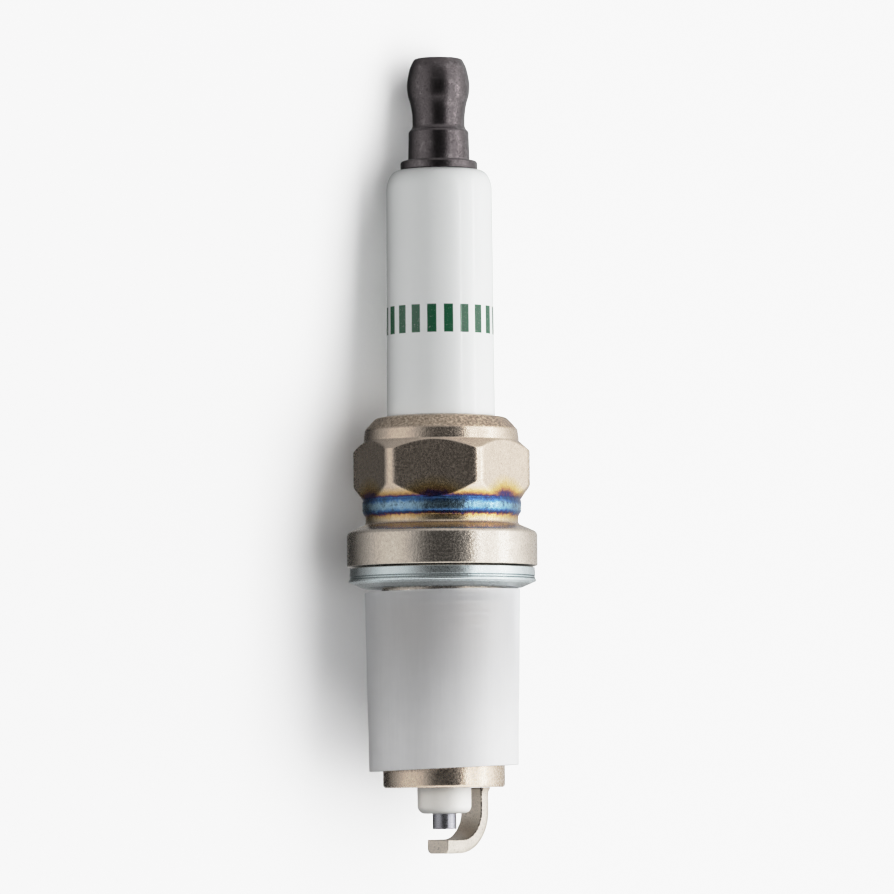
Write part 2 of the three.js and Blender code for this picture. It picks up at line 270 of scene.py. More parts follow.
def thread_radius(angle, z):
    """A right-hand thread with 60 degree flanks, run out at both ends by a 45 degree cone."""
    phase = np.mod(z / THREAD_PITCH - angle / (2 * math.pi) + 0.5, 1) - 0.5
    from_crest = np.abs(phase) * THREAD_PITCH
    flank = THREAD_R + 0.08 - (from_crest - THREAD_PITCH / 16) * math.sqrt(3)
    crest = soft_min(flank, THREAD_R, 0.08)
    run_out = THREAD_ROOT_R + np.minimum(z - THREAD_BOTTOM, THREAD_TOP - z)
    return soft_max(soft_min(crest, run_out, 0.05), THREAD_ROOT_R, 0.12)


def shell_radius(angle, r, z):
    outside = r > THREAD_ROOT_R - 0.01
    on_hexagon = outside & (z > HEX_BOTTOM - 0.3) & (z < HEX_TOP + 0.3)
    on_thread = outside & (z > THREAD_BOTTOM) & (z < THREAD_TOP)
    r = np.where(on_hexagon, soft_max(hexagon_radius(angle, z), r, 0.06), r)
    return np.where(on_thread, np.maximum(thread_radius(angle, z), r), r)


def shell_angles():
    """Columns round the shell, close together at the hexagon's corners."""
    steps = np.radians(np.concatenate([np.arange(-8, 8, 1.0), np.arange(8, 52, 2.2)]))
    corner = HEX_FRONT_FLAT + math.pi / 6
    return np.concatenate([corner + k * math.pi / 3 + steps for k in range(6)])


def ladder(r, low, high, step):
    """Evenly spaced points up a straight wall."""
    return [(r, z) for z in np.arange(low, high, step)]


def metal_shell():
    """The shell, from the firing end up the outside to the crimped lip, and back down its bore."""
    pilot = outline([
        (END_BORE_R, SHELL_END + 0.5),
        (END_BORE_R, SHELL_END, 0.08),
        (PILOT_R, SHELL_END, 0.3),
        (PILOT_R, PILOT_TOP, 0.06),
        (THREAD_ROOT_R, THREAD_BOTTOM - 0.02),
    ])
    waist = outline([
        (THREAD_ROOT_R, THREAD_TOP + 0.02),
        (UNDERCUT_R, -0.5, 0.1),
        (UNDERCUT_R, FLANGE_BOTTOM, 0.12),
        (FLANGE_R, FLANGE_BOTTOM, 0.16),
        (FLANGE_R, FLANGE_TOP, 0.2),
        (9.25, 5.72, 0.15),
        (7.66, 6.42, 0.25),
        (7.64, 7.16, 0.12),
        (7.96, 7.62, 0.2),
        (7.98, 8.72, 0.2),
        (NECK_R, 9.0),
    ])
    flats = [*ladder(NECK_R, 9.06, 10.6, 0.08), (NECK_R, 12.0)]
    flats += ladder(NECK_R, 13.4, HEX_TOP + 0.28, 0.08)
    crown = outline([
        (NECK_R, HEX_TOP + 0.3),
        (7.66, 15.9, 0.16),
        (6.6, 17.06, 0.22),
        (5.58, CRIMP_TOP, 0.06),
        (LIP_BORE_R, 16.6, 0.05),
        (SHELL_BORE_R, 15.95),
        (SHELL_BORE_R, 4.4),
        (BODY_BORE_R, 3.2),
        (BODY_BORE_R, -8.35),
        (LEDGE_BORE_R, -9.2),
        (LEDGE_BORE_R, -10.6),
        (END_BORE_R, -11.0),
    ])
    thread = ladder(THREAD_ROOT_R, THREAD_BOTTOM, THREAD_TOP, 0.09)
    points = pilot + thread + waist + flats + crown
    return skin("shell_body", rings_of(points, shell_angles(), shell_radius))


# ---------------------------------------------------------------- the insulator's column

def insulator():
    return turned("ceramic_body", [
        (ELECTRODE_BORE_R, NOSE_END, 0.1),
        (NOSE_R, NOSE_END, 0.75),
        (2.72, -19),
        (3.5, -9.6),
        (3.6, -8.9),
        (BODY_R, -7.9, 0.15),
        (BODY_R, 3.4, 0.15),
        (COLLAR_R, 5.3, 0.2),
        (COLLAR_R, 10.9, 0.15),
        (GLAZED_R, 11.44),
        (GLAZED_R, 17.25),
        (GLAZED_TOP_R, INSULATOR_TOP, 2.1, 1.16),
        (CORE_BORE_R, INSULATOR_TOP, 0.08),
        (CORE_BORE_R, -2.0, 0.05),
        (ELECTRODE_BORE_R, -2.7),
    ], 160)


def terminal_stud():
    """The terminal and its shank, with a grooved tail that the glass grips."""
    top = TERMINAL_TOP + TERMINAL_RISE
    corners = [(0, STUD_TAIL_END), (STUD_TAIL_R, STUD_TAIL_END, 0.15)]
    for z in STUD_TAIL_GROOVES:
        corners += [(STUD_TAIL_R, z - 0.15), (1.25, z, 0.05), (STUD_TAIL_R, z + 0.15)]
    return turned("terminal_body", corners + [
        (STUD_TAIL_R, 19.0),
        (STUD_SHANK_R, 19.2),
        (STUD_SHANK_R, 42.04),
        (TERMINAL_FLANGE_R, 42.04, 0.12),
        (TERMINAL_FLANGE_R, 42.96, 0.25),
        (3.1, 43.0, 0.06),
        (3.02, 45.95, 0.15),
        (2.62, 46.33, 0.3),
        (2.64, 48.3, 0.96),
        (3.27, 50.15, 0.96),
        (2.92, 52.3, 0.96, 0.4),
        (2.42, top, 0.16),
        (0, top),
    ], 160)


def upper_glass_seal():
    return turned("upper_seal_body", [
        (0, UPPER_SEAL_BOTTOM),
        (SEAL_R, UPPER_SEAL_BOTTOM, 0.1),
        (SEAL_R, UPPER_SEAL_TOP, 0.1),
        (1.54, UPPER_SEAL_TOP, 0.05),
        (1.54, 15.46, 0.1),
        (0, 15.46),
    ], 96)


def resistor():
    return turned("resistor_body", [
        (0, RESISTOR_BOTTOM),
        (SEAL_R, RESISTOR_BOTTOM, 0.15),
        (SEAL_R, RESISTOR_TOP, 0.15),
        (0, RESISTOR_TOP),
    ], 96)


def lower_glass_seal():
    return turned("lower_seal_body", [
        (0, -0.36),
        (0.94, -0.36, 0.08),
        (0.94, LOWER_SEAL_BOTTOM, 0.05),
        (SEAL_R, LOWER_SEAL_BOTTOM, 0.1),
        (SEAL_R, LOWER_SEAL_TOP, 0.1),
        (0, LOWER_SEAL_TOP),
    ], 96)


def centre_electrode():
    """The nickel jacket, with a head that the lower seal locks and a hollow for the copper core."""
    return turned("electrode_body", [
        (0, ELECTRODE_END),
        (ELECTRODE_R, ELECTRODE_END, 0.06),
        (ELECTRODE_R, -2.55, 0.05),
        (ELECTRODE_HEAD_R, -2.1, 0.05),
        (ELECTRODE_HEAD_R, -1.5, 0.08),
        (0.9, -1.5, 0.05),
        (0.9, ELECTRODE_TOP, 0.15),
        (COPPER_R + 0.04, ELECTRODE_TOP),
        (COPPER_R + 0.04, COPPER_END),
        (0, COPPER_END - 0.04),
    ], 128)


def electrode_copper_core():
    return turned("copper_body", [
        (0, COPPER_END),
        (COPPER_R, COPPER_END, 0.15),
        (COPPER_R, COPPER_TOP, 0.05),
        (0, COPPER_TOP),
    ], 64)


def packing_ring(name, low, high):
    """A round wire bent into a ring."""
    wire_r = (high - low) / 2
    turn = around(32)
    r = PACKING_R - wire_r + wire_r * np.cos(turn)
    z = (low + high) / 2 + wire_r * np.sin(turn)
    return skin(name, rings_of(np.stack([r, z], 1), around(96)))


def talc_ring():
    return turned("talc_body", [
        (5.45, TALC_BOTTOM, 0.08),
        (TALC_R, TALC_BOTTOM, 0.08),
        (TALC_R, TALC_TOP, 0.08),
        (5.45, TALC_TOP, 0.08),
    ], 96)


def inner_seat_washer():
    """A coned washer under the insulator's seating cone."""
    thickness = 0.52
    drop = WASHER_TOP - WASHER_BOTTOM - thickness
    return turned("seat_washer_body", [
        (WASHER_R - drop, WASHER_BOTTOM, 0.04),
        (WASHER_R, WASHER_TOP - thickness, 0.04),
        (WASHER_R, WASHER_TOP, 0.04),
        (WASHER_R - drop, WASHER_BOTTOM + thickness, 0.04),
    ], 96)


# ---------------------------------------------------------------- loose pieces and the ground electrode

def gasket():
    """A folded sheet metal ring: a tapered lower edge, two thin slots outside, and an upper lip."""
    lip = GASKET_TOP + 0.1

    def dented(angle, r, z):
        outer = r > 8.9
        wave = 0.012 * np.sin(3 * angle + 1) + 0.008 * np.sin(7 * angle)
        return r + np.where(outer, wave, 0)

    points = outline([
        (6.75, 0.2, 0.1),
        (6.95, GASKET_BOTTOM, 0.1),
        (7.4, GASKET_BOTTOM),
        (7.9, GASKET_BOTTOM, 0.25),
        (9.44, 0.68, 0.12),
        (9.38, 0.88, 0.05),
        (9.05, 0.9),
        (9.05, 0.95),
        (9.3, 0.97, 0.03),
        (9.3, 1.1, 0.03),
        (9.05, 1.12),
        (9.05, 1.17),
        (9.31, 1.2, 0.06),
        (9.28, lip, 0.1),
        (6.95, lip, 0.12),
        (6.75, 1.75, 0.08),
        (6.75, 1.5),
        (8.6, 1.35, 0.15),
        (8.6, 0.6, 0.15),
        (6.75, 0.42),
    ], closed=True)
    return skin("gasket_body", rings_of(points, around(192), dented))


def thread_protector():
    """A soft sleeve. Its ends are cut a little out of square and its wall is not quite round."""
    low = SLEEVE_LOW + 0.3
    high = SLEEVE_HIGH - 0.15
    walls = [
        (7.13, low, 0.05),
        (7.49, low, 0.08),
        (7.52, -14.4, 0.4),
        (7.62, -10.0, 0.4),
        (7.72, -4.0, 0.4),
        (7.8, high, 0.08),
        (7.15, high, 0.05),
    ]
    rings = rings_of(outline(walls, closed=True), around(160))
    share = ((rings[:, :, 2] - low) / (high - low)).clip(0, 1)
    x = rings[:, :, 0]
    y = rings[:, :, 1]
    angle = np.arctan2(y, x)
    ripple = 1 + 0.0008 * np.sin(2 * angle + 0.7) * np.sin(rings[:, :, 2] * 0.5)
    rings[:, :, 0] = x * ripple
    rings[:, :, 1] = y * ripple
    rings[:, :, 2] += x * (0.04 + (0.019 - 0.04) * share)
    return skin("sleeve_body", rings)


def bar_section(inset, swell):
    """A bar's section as (across, inward) offsets. The side away from the gap is rounder."""
    half_width = BAR_WIDTH / 2 - inset + swell
    half_thickness = BAR_THICKNESS / 2 - inset + swell / 2
    section = []
    corners = [
        (1, 1, BAR_INNER_ROUND),
        (-1, 1, BAR_INNER_ROUND),
        (-1, -1, BAR_OUTER_ROUND),
        (1, -1, BAR_OUTER_ROUND),
    ]
    for quarter, (side, inward, r) in enumerate(corners):
        for turn in (quarter + np.linspace(0, 1, 6)) * math.pi / 2:
            across = side * (half_width - r) + r * math.cos(turn)
            section.append((across, inward * (half_thickness - r) + r * math.sin(turn)))
    return section[::-1]


def ground_electrode():
    """A bar welded to the shell's end: a leg down, a bend and a foot under the centre electrode."""
    edge = 0.06
    foot_z = FOOT_BOTTOM + BAR_THICKNESS / 2
    root_z = SHELL_END - 0.03
    bend_z = foot_z + BAR_BEND_R
    bend_r = BAR_LEG_R - BAR_BEND_R
    path = [(BAR_LEG_R, root_z, 0, 2 * edge), (BAR_LEG_R, root_z, 0, edge)]
    path += [(BAR_LEG_R, z, 0, 0) for z in np.linspace(root_z - edge, bend_z, 14)]
    for t in np.linspace(0, math.pi / 2, 28)[1:]:
        path.append((bend_r + BAR_BEND_R * math.cos(t), bend_z - BAR_BEND_R * math.sin(t), t, 0))
    path += [(r, foot_z, math.pi / 2, 0) for r in np.linspace(bend_r, edge - BAR_OVERHANG, 10)[1:]]
    path += [(-BAR_OVERHANG, foot_z, math.pi / 2, inset) for inset in (edge, 2 * edge)]
    rings = []
    for r, z, turn, inset in path:
        swell = 0.2 * math.exp(-((root_z - z) / 0.3) ** 2)
        section = bar_section(inset, swell)
        rings.append([(r - d * math.cos(turn), across, z + d * math.sin(turn)) for across, d in section])
    rings = np.array(rings)
    bar = skin("ground_bar", rings, rings[0].mean(0), rings[-1].mean(0))
    bar.data.transform(Matrix.Rotation(BAR_DIRECTION, 4, "Z"))
    return bar


# ---------------------------------------------------------------- material tools

class Shader:
    """A node material, with short ways to add the nodes that the finishes share."""

    def __init__(self, name):
        self.material = bpy.data.materials.new(name)
        self.material.use_nodes = True
        self.nodes = self.material.node_tree.nodes
        self.links = self.material.node_tree.links
        self.surface = self.nodes["Principled BSDF"]
        coordinates = self.node("ShaderNodeTexCoord").outputs["Object"]
        scaled = self.node("ShaderNodeVectorMath", {"operation": "SCALE"})
        self.put(scaled.inputs["Vector"], coordinates)
        self.put(scaled.inputs["Scale"], 1 / MM)
        lowered = self.node("ShaderNodeVectorMath", {"operation": "ADD"})
        self.put(lowered.inputs[0], scaled.outputs[0])
        self.put(lowered.inputs[1], (0, 0, -SEAT / MM))
        self.point = lowered.outputs[0]
        split = self.node("ShaderNodeSeparateXYZ", Vector=self.point)
        self.x, self.y, self.z = split.outputs
        x_squared = self.math("MULTIPLY", self.x, self.x)
        y_squared = self.math("MULTIPLY", self.y, self.y)
        self.r = self.math("SQRT", self.math("ADD", x_squared, y_squared))

    def put(self, socket, value):
        if isinstance(value, bpy.types.NodeSocket):
            self.links.new(value, socket)
        elif socket.type == "RGBA" and len(value) == 3:
            socket.default_value = (*value, 1)
        else:
            socket.default_value = value

    def node(self, kind, settings=None, **inputs):
        made = self.nodes.new(kind)
        for key, value in (settings or {}).items():
            setattr(made, key, value)
        for key, value in inputs.items():
            self.put(made.inputs[key.replace("_", " ")], value)
        return made

    def math(self, operation, a, b=0.0):
        made = self.node("ShaderNodeMath", {"operation": operation})
        self.put(made.inputs[0], a)
        self.put(made.inputs[1], b)
        return made.outputs[0]

    def range(self, value, low, high, to_low=0.0, to_high=1.0):
        """Maps low..high smoothly on to to_low..to_high, and clamps."""
        made = self.node("ShaderNodeMapRange", {"interpolation_type": "SMOOTHSTEP"}, Value=value)
        limits = {"From Min": low, "From Max": high, "To Min": to_low, "To Max": to_high}
        for key, number in limits.items():
            made.inputs[key].default_value = number
        return made.outputs[0]

    def noise(self, scale, detail=3.0, rough=0.5, stretch=(1, 1, 1)):
        """Noise with this many features in a millimetre, fewer along a stretched axis."""
        point = self.node("ShaderNodeVectorMath", {"operation": "MULTIPLY"})
        self.put(point.inputs[0], self.point)
        self.put(point.inputs[1], stretch)
        made = self.node("ShaderNodeTexNoise", Vector=point.outputs[0], Scale=scale)
        made.inputs["Detail"].default_value = detail
        made.inputs["Roughness"].default_value = rough
        return made.outputs["Fac"]

    def mix(self, factor, a, b, blend="MIX"):
        made = self.node("ShaderNodeMix", {"data_type": "RGBA", "blend_type": blend})
        self.put(made.inputs[0], factor)
        self.put(made.inputs[6], a)
        self.put(made.inputs[7], b)
        return made.outputs[2]

    def ramp(self, value, low, high, stops):
        """A colour for a value. stops is a list of (value, colour)."""
        share = self.node("ShaderNodeMapRange", Value=value)
        share.inputs["From Min"].default_value = low
        share.inputs["From Max"].default_value = high
        made = self.node("ShaderNodeValToRGB", Fac=share.outputs[0])
        elements = made.color_ramp.elements
        while len(elements) < len(stops):
            elements.new(0.5)
        for element, (at, colour) in zip(elements, stops):
            element.position = (at - low) / (high - low)
            element.color = (*colour, 1)
        return made.outputs["Color"]

    def vary(self, colour, *layers):
        """Darkens and lightens a colour by (noise, amount) layers."""
        for noise, amount in layers:
            shade = self.math("ADD", self.math("MULTIPLY", noise, 2 * amount), 1 - amount)
            grey = self.node("ShaderNodeCombineColor", Red=shade, Green=shade, Blue=shade)
            colour = self.mix(1.0, colour, grey.outputs[0], "MULTIPLY")
        return colour

    def bump(self, *layers):
        """A normal from (height, microns) layers."""
        normal = None
        for height, microns in layers:
            made = self.node("ShaderNodeBump", Height=height, Strength=1.0, Distance=microns * 1e-6)
            if normal is not None:
                self.put(made.inputs["Normal"], normal)
            normal = made.outputs[0]
        return normal

    def finish(self, **inputs):
        for key, value in inputs.items():
            self.put(self.surface.inputs[key.replace("_", " ")], value)
        return self.material


NICKEL = (0.62, 0.517, 0.425)
HEAT_TINT = [
    (6.3, NICKEL),
    (6.75, (0.60, 0.48, 0.32)),
    (7.05, (0.58, 0.40, 0.18)),
    (7.2, (0.40, 0.22, 0.10)),
    (7.28, (0.20, 0.08, 0.14)),
    (7.36, (0.04, 0.05, 0.20)),
    (7.62, (0.06, 0.17, 0.36)),
    (8.0, (0.23, 0.38, 0.50)),
    (8.35, (0.26, 0.41, 0.52)),
    (8.7, (0.06, 0.16, 0.35)),
    (9.0, (0.03, 0.04, 0.16)),
    (9.2, (0.13, 0.06, 0.12)),
    (9.42, (0.36, 0.20, 0.09)),
    (9.75, (0.55, 0.37, 0.16)),
    (10.2, (0.61, 0.47, 0.29)),
    (11.0, NICKEL),
]


def nickel_shell():
    """Blasted nickel plate, tinted by heat in a band where the shell was heated to shrink it."""
    s = Shader("nickel_shell")
    outward = s.math("MAXIMUM", s.math("SUBTRACT", s.r, HEX_FLAT_R), 0.0)
    wander = s.math("MULTIPLY", s.math("SUBTRACT", s.noise(0.45, 2), 0.5), 0.35)
    mottle = s.math("MULTIPLY", s.math("SUBTRACT", s.noise(2.4, 3, 0.65), 0.5), 0.75)
    creep = s.math("SUBTRACT", s.math("MULTIPLY", outward, 1.9), s.range(s.z, 9.0, 9.35, 0, 0.22))
    heat = s.math("ADD", s.math("ADD", s.z, creep), s.math("ADD", wander, mottle))
    plated = s.ramp(heat, 6, 11, HEAT_TINT)
    blue = s.math("MULTIPLY", s.range(heat, 7.3, 7.6), s.range(heat, 9.1, 8.8))
    smoke = s.math("MULTIPLY", blue, s.range(s.noise(1.5, 4, 0.7), 0.5, 0.66, 0, 0.75))
    plated = s.mix(smoke, plated, (0.05, 0.09, 0.13))
    flange = s.math("MULTIPLY", s.range(s.z, 6.3, 5.9), s.range(s.z, -15, -14))
    plated = s.mix(flange, plated, (0.61, 0.545, 0.475))
    worn = s.range(s.z, 15.7, 16.1)
    colour = s.mix(worn, plated, (0.47, 0.37, 0.28))
    coarse = s.noise(3.6, 2, 0.5)
    fine = s.noise(7, 2, 0.5)
    colour = s.vary(colour, (s.noise(0.7, 3), 0.10), (coarse, 0.22), (fine, 0.22))
    crumbs = s.noise(4.2, 2, 0.5)
    bright = s.math("MULTIPLY", worn, s.range(crumbs, 0.5, 0.65, 0, 0.5))
    dark = s.math("MULTIPLY", worn, s.range(crumbs, 0.35, 0.48, 0.55, 0))
    colour = s.mix(bright, colour, (0.90, 0.78, 0.64))
    colour = s.mix(dark, colour, (0.15, 0.11, 0.08))
    specks = s.range(s.noise(8, 2), 0.64, 0.72)
    colour = s.mix(s.math("MULTIPLY", specks, 0.55), colour, (0.13, 0.10, 0.08))
    roughness = s.math("ADD", s.range(fine, 0.3, 0.7, 0.18, 0.32), s.math("MULTIPLY", worn, 0.1))
    lathe_lines = s.noise(9, 2, 0.5, (0.05, 0.05, 1))
    bumps = s.bump((coarse, 15), (fine, 12), (lathe_lines, 2))
    return s.finish(Base_Color=colour, Metallic=1.0, Roughness=roughness, Normal=bumps)


def oxide_steel():
    """The terminal: steel with a thin dark oxide and the marks of turning."""
    s = Shader("oxide_steel")
    fine = s.noise(9, 3, 0.65)
    coarse = s.noise(4.5, 3, 0.6)
    lines = s.noise(12, 2, 0.5, (0.03, 0.03, 1))
    rubbed = s.range(s.noise(1.1, 3), 0.5, 0.75)
    colour = s.mix(s.math("MULTIPLY", rubbed, 0.4), (0.115, 0.102, 0.105), (0.27, 0.245, 0.25))
    colour = s.vary(colour, (fine, 0.25), (coarse, 0.3), (lines, 0.08))
    specks = s.range(s.noise(5, 3, 0.6), 0.57, 0.66)
    colour = s.mix(s.math("MULTIPLY", specks, 0.6), colour, (0.03, 0.027, 0.027))
    roughness = s.range(fine, 0.3, 0.7, 0.14, 0.26)
    bumps = s.bump((fine, 10), (coarse, 13), (lines, 2))
    return s.finish(Base_Color=colour, Metallic=1.0, Roughness=roughness, Normal=bumps)


def glazed_ceramic():
    """White glazed alumina with a ring of even green bars, bare and matt below the glaze."""
    s = Shader("glazed_ceramic")
    turn = s.math("ARCTAN2", s.y, s.x)
    step = s.math("FRACT", s.math("MULTIPLY", turn, MARKS_AROUND / (2 * math.pi)))
    from_middle = s.math("ABSOLUTE", s.math("SUBTRACT", step, 0.5))
    in_bar = s.range(from_middle, 0.26, 0.285, 1, 0)
    low = s.range(s.z, MARK_LOW - 0.04, MARK_LOW + 0.04)
    high = s.range(s.z, MARK_HIGH - 0.04, MARK_HIGH + 0.04, 1, 0)
    marked = s.math("MULTIPLY", s.math("MULTIPLY", in_bar, low), high)
    marked = s.math("MULTIPLY", marked, s.range(s.noise(6, 3), 0.2, 0.42, 0.75, 1.0))
    white = s.vary((0.86, 0.875, 0.87), (s.noise(0.25, 3), 0.015), (s.noise(5, 2), 0.006))
    bare = s.range(s.z, 11.2, 11.0)
    body = s.mix(bare, white, (0.80, 0.79, 0.76))
    colour = s.mix(marked, body, (0.012, 0.10, 0.045))
    glaze = s.range(s.noise(1.5, 3), 0.3, 0.7, 0.035, 0.06)
    roughness = s.math("ADD", glaze, s.math("MULTIPLY", bare, 0.38))
    pits = s.math("MULTIPLY", s.noise(6, 3, 0.6), bare)
    bumps = s.bump((s.noise(0.8, 2), 6), (s.noise(8, 2), 0.4), (pits, 14), (marked, 2))
    return s.finish(Base_Color=colour, Roughness=roughness, Normal=bumps, IOR=1.6, Subsurface_Weight=0.15,
                    Subsurface_Radius=(1.0, 1.0, 1.0), Subsurface_Scale=0.0008)


def zinc_plate():
    """The gasket: bright zinc with the lines of its pressing tool, and painted shade that darkens it
    inward of 9 mm radius, where it tucks under the flange and folds in.
    """
    s = Shader("zinc_plate")
    fine = s.noise(9, 3, 0.6)
    lines = s.noise(14, 2, 0.5, (0.04, 0.04, 1))
    # Painted shade: the colour darkens inward of 9 mm radius, where the gasket tucks under the flange and
    # folds in.
    inner_shade = s.range(s.r, 9.0, 8.75)
    colour = s.mix(s.math("MULTIPLY", inner_shade, 0.6), (0.60, 0.66, 0.67), (0.25, 0.26, 0.26))
    colour = s.vary(colour, (s.noise(0.8, 3), 0.08), (lines, 0.10), (fine, 0.06))
    roughness = s.range(fine, 0.3, 0.7, 0.24, 0.38)
    bumps = s.bump((lines, 5), (fine, 4), (s.noise(1.6, 2), 12))
    return s.finish(Base_Color=colour, Metallic=1.0, Roughness=roughness, Normal=bumps)


def frosted_plastic():
    """The sleeve: frosted polyethylene that lets the thread show faintly."""
    s = Shader("frosted_plastic")
    streaks = s.noise(2.5, 3, 0.5, (1, 1, 0.06))
    colour = s.vary((0.84, 0.84, 0.845), (streaks, 0.04), (s.noise(0.6, 2), 0.03))
    scratch = s.noise(9, 2, 0.5, (1, 1, 0.03))
    roughness = s.range(scratch, 0.3, 0.7, 0.32, 0.46)
    bumps = s.bump((scratch, 3), (s.noise(1.2, 2), 10))
    thin = s.range(s.z, -17, -2)
    glow = s.math("ADD", s.math("MULTIPLY", thin, 0.28), 0.05)
    s.finish(Base_Color=colour, Roughness=roughness, Normal=bumps, IOR=1.4, Transmission_Weight=glow)
    clear = s.node("ShaderNodeBsdfTransparent", Color=(0.93, 0.94, 0.96, 1)).outputs[0]
    cloudy = s.node("ShaderNodeMixShader")
    s.put(cloudy.inputs[0], s.math("ADD", s.math("MULTIPLY", thin, 0.4), 0.05))
    s.put(cloudy.inputs[1], s.surface.outputs[0])
    s.put(cloudy.inputs[2], clear)
    s.put(s.nodes["Material Output"].inputs["Surface"], cloudy.outputs[0])
    return s.material


def electrode_nickel():
    """The centre electrode: ground nickel alloy, darkened."""
    s = Shader("electrode_nickel")
    lines = s.noise(16, 2, 0.5, (0.05, 0.05, 1))
    fine = s.noise(9, 3, 0.6)
    colour = s.vary((0.33, 0.33, 0.36), (lines, 0.15), (s.noise(1.5, 2), 0.12), (fine, 0.1))
    roughness = s.range(fine, 0.3, 0.7, 0.24, 0.38)
    bumps = s.bump((lines, 4), (fine, 5))
    return s.finish(Base_Color=colour, Metallic=1.0, Roughness=roughness, Normal=bumps)


def ground_nickel():
    """The ground electrode: drawn nickel alloy bar, browned a little by its weld, with a dark burr
    where its inner face was sheared."""
    s = Shader("ground_nickel")
    along = (math.cos(BAR_DIRECTION), math.sin(BAR_DIRECTION))
    out = s.math("ADD", s.math("MULTIPLY", s.x, along[0]), s.math("MULTIPLY", s.y, along[1]))
    across = s.math("SUBTRACT", s.math("MULTIPLY", s.y, along[0]), s.math("MULTIPLY", s.x, along[1]))
    bend_z = FOOT_BOTTOM + BAR_THICKNESS / 2 + BAR_BEND_R
    beyond = s.math("MAXIMUM", s.math("SUBTRACT", out, BAR_LEG_R - BAR_BEND_R), 0.0)
    below = s.math("MAXIMUM", s.math("SUBTRACT", bend_z, s.z), 0.0)
    from_centre = s.math("SQRT", s.math("ADD", s.math("POWER", beyond, 2.0), s.math("POWER", below, 2.0)))
    inner = BAR_BEND_R - BAR_THICKNESS / 2
    on_inner = s.range(from_centre, inner + 0.13, inner + 0.04)
    side = s.range(s.math("ABSOLUTE", across), BAR_WIDTH / 2 - 0.18, BAR_WIDTH / 2 - 0.08)
    ragged = s.range(s.noise(3.2, 3, 0.7), 0.42, 0.56, 0.15, 1.0)
    burr = s.math("MULTIPLY", s.math("MULTIPLY", on_inner, side), ragged)
    fine = s.noise(4, 3, 0.6)
    weld = s.range(s.z, -20.9, -19.95)
    colour = s.mix(s.math("MULTIPLY", weld, 0.5), (0.58, 0.53, 0.47), (0.33, 0.27, 0.21))
    colour = s.vary(colour, (s.noise(0.9, 3), 0.10), (fine, 0.42), (s.noise(9, 2), 0.24))
    specks = s.range(s.noise(4, 2), 0.6, 0.68)
    colour = s.mix(s.math("MULTIPLY", specks, 0.5), colour, (0.15, 0.13, 0.11))
    colour = s.mix(burr, colour, (0.05, 0.04, 0.035))
    roughness = s.range(fine, 0.3, 0.7, 0.32, 0.46)
    bumps = s.bump((fine, 22), (s.noise(9, 2), 12), (s.noise(1.4, 2), 16), (burr, 8))
    return s.finish(Base_Color=colour, Metallic=1.0, Roughness=roughness, Normal=bumps)


def dull_metal(name, base, roughness):
    """Metal of the pieces sealed inside the plug."""
    s = Shader(name)
    fine = s.noise(7, 3, 0.6)
    lines = s.noise(10, 2, 0.5, (0.05, 0.05, 1))
    colour = s.vary(base, (s.noise(0.9, 3), 0.12), (fine, 0.08))
    rough = s.range(fine, 0.3, 0.7, roughness - 0.08, roughness + 0.08)
    bumps = s.bump((lines, 4), (fine, 4))
    return s.finish(Base_Color=colour, Metallic=1.0, Roughness=rough, Normal=bumps)


def packed_powder(name, base, grain, roughness):
    """Pressed talc, or glass filled with powder."""
    s = Shader(name)
    grains = s.noise(grain, 4, 0.7)
    colour = s.vary(base, (grains, 0.2), (s.noise(1.1, 2), 0.1))
    rough = s.range(grains, 0.3, 0.7, roughness - 0.1, roughness + 0.05)
    return s.finish(Base_Color=colour, Roughness=rough, Normal=s.bump((grains, 20)))


# ---------------------------------------------------------------- the plug

def place(piece, node, body, material):
    piece.data.materials.append(material)
    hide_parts(node)
    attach(piece, body)


seal_glass = packed_powder("seal_glass_finish", (0.16, 0.11, 0.085), 9, 0.5)
plain_steel = dull_metal("plain_steel_finish", (0.42, 0.42, 0.43), 0.45)
copper = dull_metal("copper_finish", (0.72, 0.36, 0.22), 0.35)
talc = packed_powder("talc_finish", (0.74, 0.72, 0.68), 12, 0.9)
resistor_glass = packed_powder("resistor_finish", (0.03, 0.03, 0.03), 7, 0.7)

upper_packing = packing_ring("upper_packing_body", UPPER_PACKING_LOW, UPPER_PACKING_HIGH)
lower_packing = packing_ring("lower_packing_body", LOWER_PACKING_LOW, LOWER_PACKING_HIGH)

place(metal_shell(), "metal_shell", "plug", nickel_shell())
place(insulator(), "insulator", "plug", glazed_ceramic())
place(terminal_stud(), "terminal_stud", "plug", oxide_steel())
place(upper_glass_seal(), "upper_glass_seal", "plug", seal_glass)
place(resistor(), "resistor", "plug", resistor_glass)
place(lower_glass_seal(), "lower_glass_seal", "plug", seal_glass)
place(centre_electrode(), "centre_electrode", "plug", electrode_nickel())
place(electrode_copper_core(), "electrode_copper_core", "plug", copper)
place(upper_packing, "upper_packing_ring", "plug", plain_steel)
place(talc_ring(), "talc_ring", "plug", talc)
place(lower_packing, "lower_packing_ring", "plug", plain_steel)
place(inner_seat_washer(), "inner_seat_washer", "plug", plain_steel)
place(ground_electrode(), "ground_electrode", "plug", ground_nickel())
place(gasket(), "gasket", "gasket", zinc_plate())
place(thread_protector(), "thread_protector", "protector", frosted_plastic())


# ---------------------------------------------------------------- the studio

BACKDROP_GAP = 14.0
BACKDROP_LEAN = 0.16


